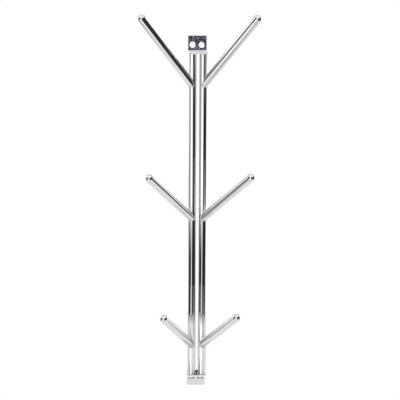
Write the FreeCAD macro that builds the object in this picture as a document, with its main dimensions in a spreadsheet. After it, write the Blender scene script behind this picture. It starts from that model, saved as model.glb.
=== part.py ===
"""Wall hook rack: two upright tubes side by side between two angle brackets, with six
domed arms that rise outwards and forwards from them.

Frame, in millimetres: the wall is the plane y = 0 and the rack stands in front of it,
towards -Y.  +X is to the right of someone who faces the rack, and +Z is up.  The origin
is midway between the two screw holes of the top bracket, on the wall face.
"""
import FreeCAD, Part
import os

import Sketcher

SIZES = {
    "tube_diameter": 22.0,        # uprights and arms are cut from one tube stock
    "tube_wall": 1.5,
    "upright_length": 876.0,
    "upright_gap": 6.0,           # clear gap between the two uprights
    "bracket_thickness": 5.0,
    "bracket_depth": 52.0,        # wall face to the flange's front edge
    "bracket_plate": 46.0,        # height of the wall plate, flange included
    "bend_radius": 3.0,           # inside of the bend between plate and flange
    "plate_corner": 3.0,          # rounding of the wall plate's outer corners
    "flange_corner": 2.0,         # rounding of the flange's front corners
    "edge_round": 1.2,            # polished rounding along the bracket's outline
    "flange_margin": 5.0,         # flange in front of the uprights
    "screw_spacing": 24.0,
    "screw_to_flange": 16.5,      # hole centre to the flange's near face
    "screw_bore": 8.0,
    "screw_head": 16.0,           # countersink's outer diameter
    "countersink_depth": 4.0,
    "end_to_arm": 83.0,           # upright's end to the nearest arm's axis
    "top_length": 226.0,          # arm, from the upright's axis to the dome's centre
    "top_rise": 50.0,             # angle above the horizontal, in degrees
    "top_turn": 24.0,             # angle out from the wall's plane, in degrees
    "middle_length": 204.0,
    "middle_rise": 39.0,
    "middle_turn": 43.0,
    "bottom_length": 196.0,
    "bottom_rise": 37.0,
    "bottom_turn": 59.0,
    "cap_spigot": 12.0,           # how far an end cap reaches into its arm
    "cap_clearance": 0.1,         # between spigot and bore, on the radius
}

# Lengths that follow from the sheet, as expressions.
TUBE_RADIUS = "(Sizes.tube_diameter / 2)"
BORE_RADIUS = "(Sizes.tube_diameter / 2 - Sizes.tube_wall)"
UPRIGHT_X = "((Sizes.tube_diameter + Sizes.upright_gap) / 2)"
UPRIGHT_Y = "(Sizes.flange_margin + Sizes.tube_diameter / 2 - Sizes.bracket_depth)"
UPRIGHT_TOP = "(-Sizes.screw_to_flange - Sizes.bracket_thickness)"
UPRIGHT_BOTTOM = f"({UPRIGHT_TOP} - Sizes.upright_length)"
BRACKET_WIDTH = "(2 * Sizes.tube_diameter + Sizes.upright_gap)"
OUTER_BEND = "(Sizes.bend_radius + Sizes.bracket_thickness)"
PLATE_END = "(Sizes.bracket_plate - Sizes.bracket_thickness - Sizes.screw_to_flange)"

# Height of each pair of arms where its axes meet the uprights' axes.
ARM_HEIGHTS = {
    "top": f"({UPRIGHT_TOP} - Sizes.end_to_arm)",
    "middle": f"({UPRIGHT_TOP} - Sizes.upright_length / 2)",
    "bottom": f"({UPRIGHT_BOTTOM} + Sizes.end_to_arm)",
}
# Each side's sign along X, and how far an arm there is turned from +X about +Z.
SIDES = {"left": (-1, "180 + Sizes.{row}_turn"), "right": (1, "-Sizes.{row}_turn")}

ORIGIN = (-1, 1)
HORIZONTAL_AXIS = -1
VERTICAL_AXIS = -2
TOUCHING = 1e-6

doc = FreeCAD.newDocument("WallHookRack")
nodes = []


def make_sheet():
    """Put every driving size in the spreadsheet, one row each, under its own name."""
    sheet = doc.addObject("Spreadsheet::Sheet", "Sizes")
    for row, (name, value) in enumerate(SIZES.items(), start=1):
        sheet.set(f"A{row}", name)
        sheet.set(f"B{row}", str(value))
        sheet.setAlias(f"B{row}", name)
    doc.recompute()


def place(x="0", y="0", z="0", turn="rotationz(0)"):
    """The expression of a placement: a position, and a rotation about it."""
    return f"placement(vector({x}; {y}; {z}); {turn})"


def finish_node(piece, label, placement):
    """Name a finished piece, tie its placement to the sheet and list it for export."""
    piece.Label = label
    piece.setExpression("Placement", placement)
    nodes.append(piece)


# --- sketches -------------------------------------------------------------------------

def attach(feature, body, plane):
    """Lay a feature flat on one of the body's own origin planes."""
    support = next(item for item in body.Origin.OriginFeatures if item.Role == plane)
    feature.AttachmentSupport = [(support, "")]
    feature.MapMode = "FlatFace"


def sketch_on(body, name, plane, offset=None):
    """A sketch on one of the body's origin planes, moved along the plane's normal."""
    sketch = body.newObject("Sketcher::SketchObject", name)
    attach(sketch, body, plane)
    if offset:
        sketch.setExpression("AttachmentOffset.Base.z", offset)
    return sketch


def bind(sketch, kind, operands, name, expression, start=10.0):
    """Add a named dimension to a sketch and tie it to the sheet."""
    index = sketch.addConstraint(Sketcher.Constraint(kind, *operands, start))
    sketch.renameConstraint(index, name)
    sketch.setExpression(f"Constraints.{name}", expression)


def add_circle(sketch, name, diameter, centre_x=0.0):
    """Add a circle on the sketch's horizontal axis and tie its diameter to the sheet."""
    centre = FreeCAD.Vector(centre_x, 0, 0)
    circle = sketch.addGeometry(Part.Circle(centre, FreeCAD.Vector(0, 0, 1), 5.0))
    bind(sketch, "Diameter", (circle,), name, diameter)
    return circle


def add_outline(sketch, corners):
    """Add straight lines round a closed outline, each held horizontal or vertical."""
    for index, (start, end) in enumerate(zip(corners, corners[1:] + corners[:1])):
        ends = FreeCAD.Vector(*start, 0), FreeCAD.Vector(*end, 0)
        sketch.addGeometry(Part.LineSegment(*ends))
        upright = start[0] == end[0]
        sketch.addConstraint(Sketcher.Constraint("Vertical" if upright else "Horizontal", index))
    for index in range(len(corners)):
        after = (index + 1) % len(corners)
        sketch.addConstraint(Sketcher.Constraint("Coincident", index, 2, after, 1))


def edges_along(body, axis, **at):
    """Names of the body's straight edges along an axis, on either side of its middle,
    that lie at the given coordinates."""
    found = []
    for number, edge in enumerate(body.Tip.Shape.Edges, start=1):
        ends = [vertex.Point for vertex in edge.Vertexes]
        straight = isinstance(edge.Curve, Part.Line)
        if not straight or abs(getattr(ends[1] - ends[0], axis)) < edge.Length - TOUCHING:
            continue
        middle = (ends[0] + ends[1]) / 2
        if all(abs(abs(getattr(middle, name)) - abs(value)) < TOUCHING for name, value in at.items()):
            found.append(f"Edge{number}")
    return found


def check_smaller(body, feature):
    """Recompute a feature that removes material, and check that it does."""
    doc.recompute()
    if feature.Shape.Volume > feature.BaseFeature.Shape.Volume - TOUCHING:
        raise RuntimeError(f"{body.Label}: {feature.Label} cuts nothing")


def round_edges(body, name, edges, radius):
    """Round the named edges of the body's last feature, and check that it changed."""
    base = body.Tip
    fillet = body.newObject("PartDesign::Fillet", name)
    fillet.Base = (base, edges)
    fillet.setExpression("Radius", radius)
    doc.recompute()
    if not fillet.Shape.isValid() or abs(fillet.Shape.Volume - base.Shape.Volume) < TOUCHING:
        raise RuntimeError(f"{body.Label}: {name} rounds nothing, or spoils the solid")


# --- uprights -------------------------------------------------------------------------

def make_upright(side):
    """A plain tube that stands on the bottom flange and ends under the top one."""
    sign, _ = SIDES[side]
    body = doc.addObject("PartDesign::Body", f"upright_{side}")
    section = sketch_on(body, f"upright_{side}_section", "XY_Plane")
    for name, diameter in (("outside", TUBE_RADIUS), ("inside", BORE_RADIUS)):
        circle = add_circle(section, name, f"2 * {diameter}")
        section.addConstraint(Sketcher.Constraint("Coincident", circle, 3, *ORIGIN))
    tube = body.newObject("PartDesign::Pad", f"upright_{side}_tube")
    tube.Profile = section
    tube.setExpression("Length", "Sizes.upright_length")
    finish_node(body, f"{side}_upright", place(f"{sign} * {UPRIGHT_X}", UPRIGHT_Y, UPRIGHT_BOTTOM))


# --- wall brackets --------------------------------------------------------------------

def add_angle(body, name):
    """The bent bar seen from its side: a wall plate with a flange at its foot."""
    profile = sketch_on(body, f"{name}_profile", "YZ_Plane")
    add_outline(profile, [(0, -9), (0, 9), (-2, 9), (-2, -7), (-20, -7), (-20, -9)])
    profile.addConstraint(Sketcher.Constraint("PointOnObject", 0, 1, VERTICAL_AXIS))
    bind(profile, "DistanceX", (1, 2, 1, 1), "plate", "Sizes.bracket_thickness")
    bind(profile, "DistanceY", (4, 2, 4, 1), "flange", "Sizes.bracket_thickness")
    bind(profile, "DistanceX", (5, 1, 5, 2), "depth", "Sizes.bracket_depth")
    bind(profile, "DistanceY", (3, 1, *ORIGIN), "seat", "Sizes.screw_to_flange")
    bind(profile, "DistanceY", (*ORIGIN, 0, 2), "end", PLATE_END)
    bar = body.newObject("PartDesign::Pad", f"{name}_bar")
    bar.Profile = profile
    bar.SideType = "Symmetric"
    bar.setExpression("Length", BRACKET_WIDTH)
    doc.recompute()


def add_screw_holes(body, name):
    """Two through holes in the wall plate, side by side, countersunk from the front."""
    front = "Sizes.bracket_thickness"
    marks = sketch_on(body, f"{name}_hole_marks", "XZ_Plane", front)
    for mark, sign in (("left", -1), ("right", 1)):
        circle = add_circle(marks, f"{mark}_bore", "Sizes.screw_bore", sign * 10.0)
        marks.addConstraint(Sketcher.Constraint("PointOnObject", circle, 3, HORIZONTAL_AXIS))
        ends = (circle, 3, *ORIGIN) if sign < 0 else (*ORIGIN, circle, 3)
        bind(marks, "DistanceX", ends, f"{mark}_place", "Sizes.screw_spacing / 2")
    bores = body.newObject("PartDesign::Pocket", f"{name}_screw_bores")
    bores.Profile = marks
    bores.Type = "ThroughAll"
    check_smaller(body, bores)
    for mark, sign in (("left", -1), ("right", 1)):
        sink = body.newObject("PartDesign::SubtractiveCone", f"{name}_{mark}_countersink")
        attach(sink, body, "XZ_Plane")
        offset = place(f"{sign} * Sizes.screw_spacing / 2", "0", front, "rotationx(180)")
        sink.setExpression("AttachmentOffset", offset)
        sink.setExpression("Radius1", "Sizes.screw_head / 2")
        sink.setExpression("Radius2", "Sizes.screw_bore / 2")
        sink.setExpression("Height", "Sizes.countersink_depth")
        check_smaller(body, sink)


def make_bracket(name, placement):
    """An angle bracket: its plate goes against the wall, its flange on the tubes' ends."""
    body = doc.addObject("PartDesign::Body", f"bracket_{name}")
    add_angle(body, name)
    box = body.Shape.BoundBox
    thickness = doc.Sizes.bracket_thickness
    seat = doc.Sizes.screw_to_flange
    roundings = (
        ("inner_bend", "x", {"y": thickness, "z": seat}, "Sizes.bend_radius"),
        ("outer_bend", "x", {"y": box.YMax, "z": box.ZMin}, OUTER_BEND),
        ("plate_corners", "y", {"x": box.XMax, "z": box.ZMax}, "Sizes.plate_corner"),
        ("flange_corners", "z", {"x": box.XMax, "y": box.YMin}, "Sizes.flange_corner"),
        ("front_outline", "x", {"y": thickness, "z": box.ZMax}, "Sizes.edge_round"),
        ("back_outline", "x", {"y": box.YMax, "z": box.ZMax}, "Sizes.edge_round"),
    )
    for feature, axis, at, radius in roundings:
        round_edges(body, f"{name}_{feature}", edges_along(body, axis, **at), radius)
    add_screw_holes(body, name)
    finish_node(body, f"{name}_wall_bracket", placement)


# --- arms -----------------------------------------------------------------------------

def arm_frame(row, side):
    """Expression of the frame on the upright's axis, with +X along the arm's bearing."""
    sign, turn = SIDES[side]
    turn = f"rotationz({turn.format(row=row)})"
    return place(f"{sign} * {UPRIGHT_X}", UPRIGHT_Y, ARM_HEIGHTS[row], turn)


def add_cylinder(name, radius, length, placement):
    """A cylinder along its own +Z whose sizes and place follow the sheet."""
    cylinder = doc.addObject("Part::Cylinder", name)
    cylinder.setExpression("Radius", radius)
    cylinder.setExpression("Height", length)
    cylinder.setExpression("Placement", placement)
    return cylinder


def cut(name, base, tool):
    """One solid less another, with a check that something is taken away."""
    result = doc.addObject("Part::Cut", name)
    result.Base = base
    result.Tool = tool
    doc.recompute()
    if result.Shape.Volume > base.Shape.Volume - TOUCHING:
        raise RuntimeError(f"{name}: nothing is cut")
    return result


def make_arm(row, side):
    """A straight tube whose root is coped to sit on the round side of its upright."""
    name = f"{row}_{side}"
    rise = place(turn=f"rotationy(90 - Sizes.{row}_rise)")
    length = f"Sizes.{row}_length"
    outside = add_cylinder(f"{name}_outside", TUBE_RADIUS, length, rise)
    inside = add_cylinder(f"{name}_inside", BORE_RADIUS, length, rise)
    tube = cut(f"{name}_tube", outside, inside)
    reach = f"8 * {TUBE_RADIUS}"
    cope = add_cylinder(f"{name}_cope", TUBE_RADIUS, f"2 * {reach}", place(z=f"-{reach}"))
    arm = cut(f"{name}_coped", tube, cope)
    finish_node(arm, f"{name}_arm", arm_frame(row, side))


def make_end_cap(row, side):
    """A half-round cap, seated on the arm's end, with a spigot inside the bore."""
    name = f"{row}_{side}"
    dome = doc.addObject("Part::Sphere", f"{name}_dome")
    dome.setExpression("Radius", TUBE_RADIUS)
    dome.Angle1 = 0
    spigot = add_cylinder(
        f"{name}_spigot",
        f"{BORE_RADIUS} - Sizes.cap_clearance",
        "Sizes.cap_spigot",
        place(z="-Sizes.cap_spigot"),
    )
    cap = doc.addObject("Part::Fuse", f"{name}_cap")
    cap.Base = dome
    cap.Tool = spigot
    doc.recompute()
    rise = place(turn=f"rotationy(90 - Sizes.{row}_rise)")
    end = place(z=f"Sizes.{row}_length")
    finish_node(cap, f"{name}_end_cap", f"{arm_frame(row, side)} * {rise} * {end}")


# --- checks and export ----------------------------------------------------------------

def check_document():
    """Stop before anything is written if an object failed or a node has no sound solid."""
    for item in doc.Objects:
        if {"Invalid", "Error"} & set(item.State):
            raise RuntimeError(f"{item.Label}: {item.State}")
    for piece in nodes:
        shape = piece.Shape
        if shape.isNull() or not shape.isValid() or len(shape.Solids) != 1:
            raise RuntimeError(f"{piece.Label}: not one valid solid")


def export_nodes():
    """Write each node's solid to its own file."""
    os.makedirs("parts", exist_ok=True)
    for piece in nodes:
        piece.Shape.exportStep(f"parts/{piece.Label}.step")
        print(f"{piece.Label}: {piece.Shape.Volume / 1000:.2f} cm3")


make_sheet()
for side in SIDES:
    make_upright(side)
make_bracket("top", place())
half_turn = "rotation(vector(0; 1; 0); 180)"
make_bracket("bottom", place(z=f"{UPRIGHT_BOTTOM} + {UPRIGHT_TOP}", turn=half_turn))
for row in ARM_HEIGHTS:
    for side in SIDES:
        make_arm(row, side)
        make_end_cap(row, side)
doc.recompute()
check_document()
export_nodes()
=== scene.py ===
"""Studio scene of the chrome wall hook rack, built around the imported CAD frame.

Metres, in the CAD frame: the wall plane is y = 0, the rack stands towards -Y, +X is to
the right of someone who faces it and +Z is up.  Azimuths and bearings are degrees about
+Z, from straight out of the wall and growing to the right.  Elevations are degrees too.
"""
import math

import bpy
from mathutils import Matrix, Vector


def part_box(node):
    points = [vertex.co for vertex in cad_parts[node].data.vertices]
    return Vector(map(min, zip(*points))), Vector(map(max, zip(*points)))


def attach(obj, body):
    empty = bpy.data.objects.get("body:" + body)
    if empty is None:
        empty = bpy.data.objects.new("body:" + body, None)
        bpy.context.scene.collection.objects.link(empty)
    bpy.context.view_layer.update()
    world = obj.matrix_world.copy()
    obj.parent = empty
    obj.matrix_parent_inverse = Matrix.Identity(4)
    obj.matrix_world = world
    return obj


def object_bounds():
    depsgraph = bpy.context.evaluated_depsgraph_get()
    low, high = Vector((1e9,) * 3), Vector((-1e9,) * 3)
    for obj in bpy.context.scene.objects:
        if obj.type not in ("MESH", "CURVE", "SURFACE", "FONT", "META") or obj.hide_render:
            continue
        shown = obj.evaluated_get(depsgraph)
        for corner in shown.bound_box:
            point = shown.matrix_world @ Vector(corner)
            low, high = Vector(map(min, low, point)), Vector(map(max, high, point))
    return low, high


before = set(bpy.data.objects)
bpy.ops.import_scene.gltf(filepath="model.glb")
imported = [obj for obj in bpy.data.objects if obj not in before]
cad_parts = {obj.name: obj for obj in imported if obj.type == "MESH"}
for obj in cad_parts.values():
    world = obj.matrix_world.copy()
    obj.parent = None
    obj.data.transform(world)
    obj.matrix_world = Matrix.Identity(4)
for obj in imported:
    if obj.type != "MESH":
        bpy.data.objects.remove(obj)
cad_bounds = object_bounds()

MM = 0.001
DEGREE = math.pi / 180
ACROSS = Vector((1, 0, 0))
UP = Vector((0, 0, 1))
ROWS = ("top", "middle", "bottom")      # of arms
ENDS = ("top", "bottom")                # of the uprights
SIDES = {"left": -1, "right": 1}        # and the sign of x there


# --- shader graphs ------------------------------------------------------------------------

MIX_FACTOR, MIX_FIRST, MIX_SECOND, MIX_RESULT = 0, 6, 7, 2      # a Mix node's colour sockets


class Graph:
    """A short way to add and join the shader nodes of one material or world."""

    def __init__(self, owner):
        owner.use_nodes = True
        self.tree = owner.node_tree
        self.tree.nodes.clear()

    def add(self, kind, inputs=None, **settings):
        """A new node.  Each input is a plain value or the socket that feeds it."""
        node = self.tree.nodes.new(kind)
        for name, value in settings.items():
            setattr(node, name, value)
        for name, value in (inputs or {}).items():
            if isinstance(value, bpy.types.NodeSocket):
                self.tree.links.new(value, node.inputs[name])
            else:
                node.inputs[name].default_value = value
        return node

    def math(self, operation, *values):
        return self.add("ShaderNodeMath", dict(enumerate(values)), operation=operation).outputs[0]

    def noise(self, place, scale, detail, roughness=0.5):
        inputs = {"Vector": place, "Scale": scale, "Detail": detail, "Roughness": roughness}
        return self.add("ShaderNodeTexNoise", inputs).outputs["Fac"]

    def blend(self, amount, first, second):
        """The first colour where amount is 0, and the second where it is 1."""
        inputs = {MIX_FACTOR: amount, MIX_FIRST: first, MIX_SECOND: second}
        return self.add("ShaderNodeMix", inputs, data_type="RGBA").outputs[MIX_RESULT]

    def step(self, value, low, high):
        """0 below low, 1 above high, and smooth between; falls instead where low > high."""
        start, end = (0.0, 1.0) if low < high else (1.0, 0.0)
        inputs = {"Value": value, "From Min": min(low, high), "From Max": max(low, high),
                  "To Min": start, "To Max": end}
        return self.add("ShaderNodeMapRange", inputs, interpolation_type="SMOOTHSTEP").outputs["Result"]

    def band(self, value, limits, soft):
        """1 between the limits and 0 outside, with edges that are soft to this far each side."""
        low, high = limits
        return self.math("MULTIPLY", self.step(value, low - soft, low + soft),
                         self.step(value, high + soft, high - soft))

    def patch(self, first, second):
        """1 inside two bands and 0 outside.  Each band is its value, limits and softness."""
        return self.math("MULTIPLY", self.band(*first), self.band(*second))

    def bearing(self, x, y):
        """Bearing in degrees of the point or direction x, y."""
        out = self.math("MULTIPLY", y, -1.0)
        return self.math("DIVIDE", self.math("ARCTAN2", x, out), DEGREE)


def grey(level):
    return (level, level, level, 1.0)


# --- camera -------------------------------------------------------------------------------

CAMERA_LENS = 94.5
CAMERA_PLACE = Vector((-0.183, -2.781, 0.140))
CAMERA_YAW = 3.965          # degrees to the right of the wall's normal
CAMERA_PITCH = 11.29        # degrees below the horizontal
CAMERA_ROLL = 0.32          # degrees


def make_camera():
    """A long lens a little above the rack and left of it, looking slightly down."""
    pitch, yaw, roll = (math.radians(angle) for angle in (CAMERA_PITCH, CAMERA_YAW, CAMERA_ROLL))
    level = math.cos(pitch)
    forward = Vector((math.sin(yaw) * level, math.cos(yaw) * level, -math.sin(pitch)))
    level_right = Vector((math.cos(yaw), -math.sin(yaw), 0))
    level_up = level_right.cross(forward)
    right = math.cos(roll) * level_right + math.sin(roll) * level_up
    up = math.cos(roll) * level_up - math.sin(roll) * level_right
    data = bpy.data.cameras.new("camera")
    data.lens = CAMERA_LENS
    camera = bpy.data.objects.new("camera", data)
    facing = Matrix((right, up, -forward)).transposed().to_4x4()
    camera.matrix_world = Matrix.Translation(CAMERA_PLACE) @ facing
    bpy.context.scene.collection.objects.link(camera)
    bpy.context.scene.camera = camera


# --- surroundings -------------------------------------------------------------------------

# The room is dark clutter, in places cool and in places warm, and each edge below is a
# level of its noise: from the first number to the second, one shade turns into the other.
ROOM_DARK = (0.010, 0.010, 0.013, 1.0)
ROOM_COOL = (0.045, 0.052, 0.075, 1.0)
ROOM_WARM = (0.070, 0.048, 0.042, 1.0)
CLUTTER_SCALE = 14.0
CLUTTER_EDGE = (0.36, 0.66)
WARMTH_SCALE = 3.1
WARMTH_EDGE = (0.44, 0.60)

# Paler blotches of the clutter, in front of the rack and about level with it.
GLOOM = (0.170, 0.195, 0.270, 1.0)
GLOOM_EDGE = (0.49, 0.56)
GLOOM_AZIMUTHS = ((-9, 17), 3.0)            # limits, and softness of the edges
GLOOM_ELEVATIONS = ((-8.0, 2.5), 1.0)

# Softboxes, backdrops and shaded flats: azimuths, elevations, softness of the edges and
# brightness.  A later one covers an earlier one where they overlap.
PANELS = {
    "low_glow": ((12, 80), (-5.2, -2.4), 3.0, 0.17),
    "spill": ((-4, 16), (-13, -7), 5.0, 0.36),
    "grey_flat": ((-93, -58), (-12.8, 19), 4.0, 0.08),
    "left_fold": ((-88, -54), (-12.8, -4), 3.0, 0.45),
    "key_softbox": ((-49, 1), (-12.8, 1.0), 3.0, 1.7),
    "key_tail": ((-27, -3), (-31, -12.8), 4.0, 1.0),
    "camera_card": ((-22, 2), (1.5, 16), 1.5, 2.4),
    "front_ceiling": ((-52, 58), (27, 60), 4.0, 1.1),
    "backdrop_left": ((-200, -98), (-60, 32), 5.0, 1.32),
    "left_shadow": ((-118, -102), (-21, -9), 4.0, 0.22),
    "upper_left": ((-104, -78), (21, 50), 4.0, 1.2),
    "backdrop_right": ((104, 200), (-60, 28), 4.0, 1.32),
    "low_right": ((60, 76), (-24, -18), 3.0, 0.80),
    "ceiling": ((-200, 200), (38, 100), 5.0, 1.15),
}
PANEL_SOFT_UP = 2.0         # a panel's top and bottom edges are no softer than this

# A shade high on the backdrop, behind the rack on both sides.
WALL_SHADE = (0.085, 0.100, 0.135, 1.0)
WALL_SHADE_AZIMUTHS = ((150, 200), 8.0)     # limits, and softness of the edges
WALL_SHADE_ELEVATIONS = ((13, 33), 3.0)


def room_shade(graph, direction, azimuth, elevation):
    """The dark room that the chrome mirrors where no panel stands."""
    clutter = graph.noise(direction, CLUTTER_SCALE, detail=4.0)
    warmth = graph.noise(direction, WARMTH_SCALE, detail=2.0)
    hue = graph.blend(graph.step(warmth, *WARMTH_EDGE), ROOM_COOL, ROOM_WARM)
    shade = graph.blend(graph.step(clutter, *CLUTTER_EDGE), ROOM_DARK, hue)
    near = graph.patch((azimuth, *GLOOM_AZIMUTHS), (elevation, *GLOOM_ELEVATIONS))
    blotches = graph.math("MULTIPLY", near, graph.step(clutter, *GLOOM_EDGE))
    return graph.blend(blotches, shade, GLOOM)


def make_world():
    """White to the camera; to the chrome, a dark room with softboxes and a backdrop."""
    world = bpy.data.worlds.new("studio")
    bpy.context.scene.world = world
    graph = Graph(world)
    direction = graph.add("ShaderNodeTexCoord").outputs["Generated"]
    x, y, z = graph.add("ShaderNodeSeparateXYZ", {"Vector": direction}).outputs
    azimuth = graph.bearing(x, y)
    elevation = graph.math("DIVIDE", graph.math("ARCSINE", z), DEGREE)
    shade = room_shade(graph, direction, azimuth, elevation)
    for azimuths, elevations, soft, level in PANELS.values():
        lit = graph.patch((azimuth, azimuths, soft), (elevation, elevations, min(soft, PANEL_SOFT_UP)))
        shade = graph.blend(lit, shade, grey(level))
    either_side = graph.math("ABSOLUTE", azimuth)
    behind = graph.patch((either_side, *WALL_SHADE_AZIMUTHS), (elevation, *WALL_SHADE_ELEVATIONS))
    shade = graph.blend(behind, shade, WALL_SHADE)
    seen = graph.add("ShaderNodeLightPath").outputs["Is Camera Ray"]
    background = graph.add("ShaderNodeBackground", {"Color": graph.blend(seen, shade, grey(1.0))})
    graph.add("ShaderNodeOutputWorld", {"Surface": background.outputs[0]})


# --- floor --------------------------------------------------------------------------------

FLOOR_DROP = 0.62           # from the rack's lowest point
FLOOR_RADIUS = 2.7
FLOOR_STEPS = 96            # corners round its edge
FLOOR_LIGHT = 1.0

# Lit and shaded patches: bearings, distances from the middle, and brightness.
FLOOR_PATCHES = {
    "key_spill": ((-46, -11), (1.55, 2.8), 1.8),
    "front_shadow": ((11, 33), (1.24, 1.86), 0.05),
    "left_shadow": ((-74, -52), (1.15, 1.95), 0.10),
    "far_left_shadow": ((-117, -102), (1.30, 2.8), 0.28),
    "far_right_shadow": ((107, 121), (1.35, 2.2), 0.36),
}
PATCH_SOFT_BEARING = 4.0
PATCH_SOFT_DISTANCE = 0.09

# The far edge frays into dark streaks, except behind the wall.
STREAKS_PER_DEGREE = 0.11
STREAK_EDGE = (0.38, 0.62)      # levels of the streaks' noise
STREAK_LENGTH = 0.22
FRAYED_EDGE = (2.66, 2.82)      # distance, with the streaks' length added, where the floor ends
FRAYED_BEARINGS = (112.0, 96.0)     # on both sides: none beyond the first, and in full within the second


def frayed_edge(graph, bearing, distance):
    """1 in the streaks at the floor's edge, and 0 elsewhere."""
    streaks = graph.add("ShaderNodeTexNoise", noise_dimensions="1D", inputs={
        "W": graph.math("MULTIPLY", bearing, STREAKS_PER_DEGREE), "Scale": 1.0, "Detail": 2.0,
    }).outputs["Fac"]
    reach = graph.math("MULTIPLY_ADD", graph.step(streaks, *STREAK_EDGE), STREAK_LENGTH, distance)
    front = graph.step(graph.math("ABSOLUTE", bearing), *FRAYED_BEARINGS)
    return graph.math("MULTIPLY", front, graph.step(reach, *FRAYED_EDGE))


def floor_paper():
    """Plain and pale to the camera; to the chrome, lit in patches and frayed at its edge."""
    material = bpy.data.materials.new("floor_paper")
    graph = Graph(material)
    place = graph.add("ShaderNodeTexCoord").outputs["Object"]
    x, y, _ = graph.add("ShaderNodeSeparateXYZ", {"Vector": place}).outputs
    bearing = graph.bearing(x, y)
    distance = graph.add("ShaderNodeVectorMath", {0: place}, operation="LENGTH").outputs["Value"]
    colour = grey(FLOOR_LIGHT)
    for bearings, distances, level in FLOOR_PATCHES.values():
        lit = graph.patch((bearing, bearings, PATCH_SOFT_BEARING),
                          (distance, distances, PATCH_SOFT_DISTANCE))
        colour = graph.blend(lit, colour, grey(level))
    colour = graph.blend(frayed_edge(graph, bearing, distance), colour, ROOM_COOL)
    seen = graph.add("ShaderNodeLightPath").outputs["Is Camera Ray"]
    glow = graph.add("ShaderNodeEmission", {"Color": graph.blend(seen, colour, grey(FLOOR_LIGHT))})
    graph.add("ShaderNodeOutputMaterial", {"Surface": glow.outputs[0]})
    return material


def make_floor():
    """A round floor well below the rack."""
    ring = []
    for corner in range(FLOOR_STEPS):
        angle = 2 * math.pi * corner / FLOOR_STEPS
        ring.append((FLOOR_RADIUS * math.cos(angle), FLOOR_RADIUS * math.sin(angle), 0))
    mesh = bpy.data.meshes.new("floor")
    mesh.from_pydata(ring, [], [tuple(range(FLOOR_STEPS))])
    mesh.materials.append(floor_paper())
    floor = bpy.data.objects.new("floor", mesh)
    floor.location = (0, 0, cad_bounds[0][2] - FLOOR_DROP)
    bpy.context.scene.collection.objects.link(floor)


# --- chrome -------------------------------------------------------------------------------

CHROME = (0.715, 0.705, 0.715, 1.0)
SMEAR_SHADE = 0.93          # of the chrome's colour
# Near white: a painted highlight along the front edge of a bracket's flange.
EDGE_HIGHLIGHT_TINT = (0.96, 0.96, 0.97, 1.0)

# Roughness of clean plate, and what smears, drawing marks and the rough front edge of a flange add to
# it.
CLEAN_ROUGHNESS = 0.006
SMEAR_ROUGHNESS = 0.014
MARK_ROUGHNESS = 0.008
EDGE_ROUGHNESS = 0.50

# Noise of the marks and the smears, and the levels between which each one sets in.
MARK_SCALE = 330.0
MARK_STRETCH = 0.02         # of that scale, along the piece
MARK_EDGE = (0.45, 0.85)
SMEAR_SCALE = 55.0
SMEAR_EDGE = (0.52, 0.78)

# Relief: height in millimetres, and for the waves also their size in metres.
MARK_HEIGHT = 0.005
TUBE_WAVES = (0.012, 0.05)
BRACKET_WAVES = (0.16, 0.011)
WELD_WAVES = (0.05, 0.004)
STILL = (0.0, 0.02)

HIGHLIT_EDGE_DEPTH = 1.6 * MM     # of the rough front edge of a bracket's flange, tinted near white as a painted highlight
HIGHLIT_EDGE_SOFT = 0.4 * MM


def chrome(name, axis, waves, highlit_edge_y=None):
    """Plated and buffed steel: drawing marks along one axis, faint smears, and a slight
    waviness that bends reflections where the metal under the plate isn't quite flat.
    Nearer the room than the plane in y that the last argument gives, the metal is rougher and near
    white, a painted highlight along the flange's front edge."""
    material = bpy.data.materials.new(name)
    graph = Graph(material)
    place = graph.add("ShaderNodeTexCoord").outputs["Object"]
    turn = UP.rotation_difference(axis).inverted().to_euler()
    along = graph.add("ShaderNodeMapping", {"Vector": place, "Rotation": turn})
    stretch = (1.0, 1.0, MARK_STRETCH)
    drawn = graph.add("ShaderNodeMapping", {"Vector": along.outputs[0], "Scale": stretch})
    marks = graph.noise(drawn.outputs[0], MARK_SCALE, detail=2.0)
    smears = graph.step(graph.noise(place, SMEAR_SCALE, detail=4.0, roughness=0.62), *SMEAR_EDGE)
    tint = graph.blend(smears, CHROME, tuple(SMEAR_SHADE * c for c in CHROME[:3]) + (1.0,))
    smeared = graph.math("MULTIPLY_ADD", smears, SMEAR_ROUGHNESS, CLEAN_ROUGHNESS)
    scored = graph.math("MULTIPLY", graph.step(marks, *MARK_EDGE), MARK_ROUGHNESS)
    roughness = graph.math("ADD", smeared, scored)
    # Painted highlight: the flange's front edge is tinted near white, and is rougher too.
    if highlit_edge_y is not None:
        _, depth, _ = graph.add("ShaderNodeSeparateXYZ", {"Vector": place}).outputs
        rough_highlit_edge = graph.step(depth, highlit_edge_y + HIGHLIT_EDGE_SOFT, highlit_edge_y - HIGHLIT_EDGE_SOFT)
        roughness = graph.math("MULTIPLY_ADD", rough_highlit_edge, EDGE_ROUGHNESS, roughness)
        tint = graph.blend(rough_highlit_edge, tint, EDGE_HIGHLIGHT_TINT)
    wave_height, wave_size = waves
    rolling = graph.noise(place, 1.0 / wave_size, detail=1.0)
    relief = graph.math("MULTIPLY_ADD", rolling, wave_height, graph.math("MULTIPLY", marks, MARK_HEIGHT))
    bump = graph.add("ShaderNodeBump", {"Height": relief, "Strength": 1.0, "Distance": MM})
    shader = graph.add("ShaderNodeBsdfPrincipled", {
        "Base Color": tint, "Metallic": 1.0, "Roughness": roughness, "Normal": bump.outputs["Normal"],
    })
    graph.add("ShaderNodeOutputMaterial", {"Surface": shader.outputs[0]})
    return material


def set_material(node, material):
    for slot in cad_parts[node].material_slots:
        slot.material = material


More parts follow.
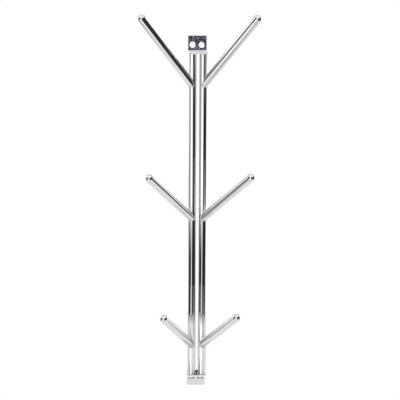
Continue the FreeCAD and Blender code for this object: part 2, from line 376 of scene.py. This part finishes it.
def finish_nodes():
    """Give every CAD node its chrome, with the marks along that node's own axis."""
    for side in SIDES:
        set_material(f"{side}_upright", chrome(f"{side}_upright_chrome", UP, TUBE_WAVES))
    for end in ENDS:
        node = f"{end}_wall_bracket"
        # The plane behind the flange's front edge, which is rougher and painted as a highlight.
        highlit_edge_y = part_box(node)[0].y + HIGHLIT_EDGE_DEPTH
        set_material(node, chrome(f"{end}_bracket_chrome", ACROSS, BRACKET_WAVES, highlit_edge_y))
    for row in ROWS:
        for side in SIDES:
            _, axis = arm_axis(row, side)
            set_material(f"{row}_{side}_arm", chrome(f"{row}_{side}_arm_chrome", axis, TUBE_WAVES))
            set_material(f"{row}_{side}_end_cap", chrome(f"{row}_{side}_cap_chrome", axis, STILL))


# --- where the tubes are ------------------------------------------------------------------

ROOT_ROUNDS = 20            # of working out an arm's root, each nearer than the last


def upright_axis(side):
    """Radius of an upright, and a point on its axis."""
    low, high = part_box(f"{side}_upright")
    return (high.y - low.y) / 2, Vector(((low.x + high.x) / 2, (low.y + high.y) / 2, 0))


def seam_distance(height, radius, rise, ease=0.0):
    """How far from its root an arm's seam with the upright lies, measured along the arm.
    The height is the seam's place on the arm's round section, -1 at the bottom and 1 at
    the top.  Ease rounds the seam's two corners, which are at mid height."""
    return radius * (math.hypot(height, ease) + height * math.sin(rise)) / math.cos(rise)


def arm_axis(row, side):
    """An arm's root on the upright's axis, and its unit direction, from the frame's boxes.
    The dome's centre follows from the cap's box, and the root's height from the arm's box,
    because the arm is lowest at the bottom of its seam."""
    radius, root = upright_axis(side)
    low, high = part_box(f"{row}_{side}_end_cap")
    sign = SIDES[side]
    outer = high.x if sign > 0 else low.x
    dome = Vector((outer - sign * radius, low.y + radius, high.z - radius))
    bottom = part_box(f"{row}_{side}_arm")[0].z
    reach = math.hypot(dome.x - root.x, dome.y - root.y)
    root.z = dome.z - reach
    for _ in range(ROOT_ROUNDS):
        rise = math.atan2(dome.z - root.z, reach)
        lowest = seam_distance(-1.0, radius, rise) * math.sin(rise) - radius * math.cos(rise)
        root.z = bottom - lowest
    return root, (dome - root).normalized()


# --- weld beads ---------------------------------------------------------------------------

WELD_RADIUS = 1.25 * MM
WELD_RIPPLE = 0.16 * MM
WELD_PITCH = 2.3 * MM       # from one ripple to the next
WELD_STEPS = 168            # along the seam
WELD_SIDES = 12             # round the bead
WELD_EASE = 0.12            # of the arm's radius, on the seam's corners


def tube_faces(steps, sides):
    """The quads of a closed ring of closed rings, whose corners are numbered ring by ring."""
    faces = []
    for ring in range(steps):
        after = (ring + 1) % steps
        for corner in range(sides):
            beyond = (corner + 1) % sides
            faces.append((ring * sides + corner, after * sides + corner,
                          after * sides + beyond, ring * sides + beyond))
    return faces


def add_weld(name, point, outward):
    """A rippled bead along a closed seam, given point(angle) and outward(angle)."""
    angles = [2 * math.pi * step / WELD_STEPS for step in range(WELD_STEPS)]
    turns = [2 * math.pi * side / WELD_SIDES for side in range(WELD_SIDES)]
    seam = [point(angle) for angle in angles]
    length = sum((seam[i] - seam[i - 1]).length for i in range(WELD_STEPS))
    ripples = round(length / WELD_PITCH)
    corners = []
    for i, angle in enumerate(angles):
        along = (seam[(i + 1) % WELD_STEPS] - seam[i - 1]).normalized()
        out = outward(angle)
        out = (out - out.dot(along) * along).normalized()
        beside = along.cross(out)
        swell = WELD_RADIUS + WELD_RIPPLE * math.sin(ripples * angle)
        for turn in turns:
            corners.append(seam[i] + swell * (math.cos(turn) * out + math.sin(turn) * beside))
    mesh = bpy.data.meshes.new(name)
    mesh.from_pydata(corners, [], tube_faces(WELD_STEPS, WELD_SIDES))
    mesh.polygons.foreach_set("use_smooth", [True] * len(mesh.polygons))
    mesh.update()
    mesh.materials.append(chrome(f"{name}_chrome", UP, WELD_WAVES))
    bead = bpy.data.objects.new(name, mesh)
    bpy.context.scene.collection.objects.link(bead)
    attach(bead, "root")


def weld_arm(row, side):
    """The bead round the arm's root, where its tube meets the upright's."""
    radius, _ = upright_axis(side)
    root, along = arm_axis(row, side)
    rise = math.asin(along.z)
    level = UP.cross(along).normalized()
    above = along.cross(level)

    def outward(angle):
        return math.cos(angle) * level + math.sin(angle) * above

    def point(angle):
        distance = seam_distance(math.sin(angle), radius, rise, WELD_EASE)
        return root + distance * along + radius * outward(angle)

    add_weld(f"weld_{row}_{side}_arm", point, outward)


def weld_upright(side, end):
    """The bead round an upright's end, against the flange."""
    radius, axis = upright_axis(side)
    low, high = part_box(f"{side}_upright")
    height = high.z if end == "top" else low.z
    centre = Vector((axis.x, axis.y, height))

    def outward(angle):
        return Vector((math.cos(angle), math.sin(angle), 0))

    def point(angle):
        return centre + radius * outward(angle)

    add_weld(f"weld_{end}_{side}_upright", point, outward)


# --- the scene ----------------------------------------------------------------------------

make_camera()
make_world()
make_floor()
finish_nodes()
for side in SIDES:
    for row in ROWS:
        weld_arm(row, side)
    for end in ENDS:
        weld_upright(side, end)

bpy.context.scene.view_settings.view_transform = "Standard"
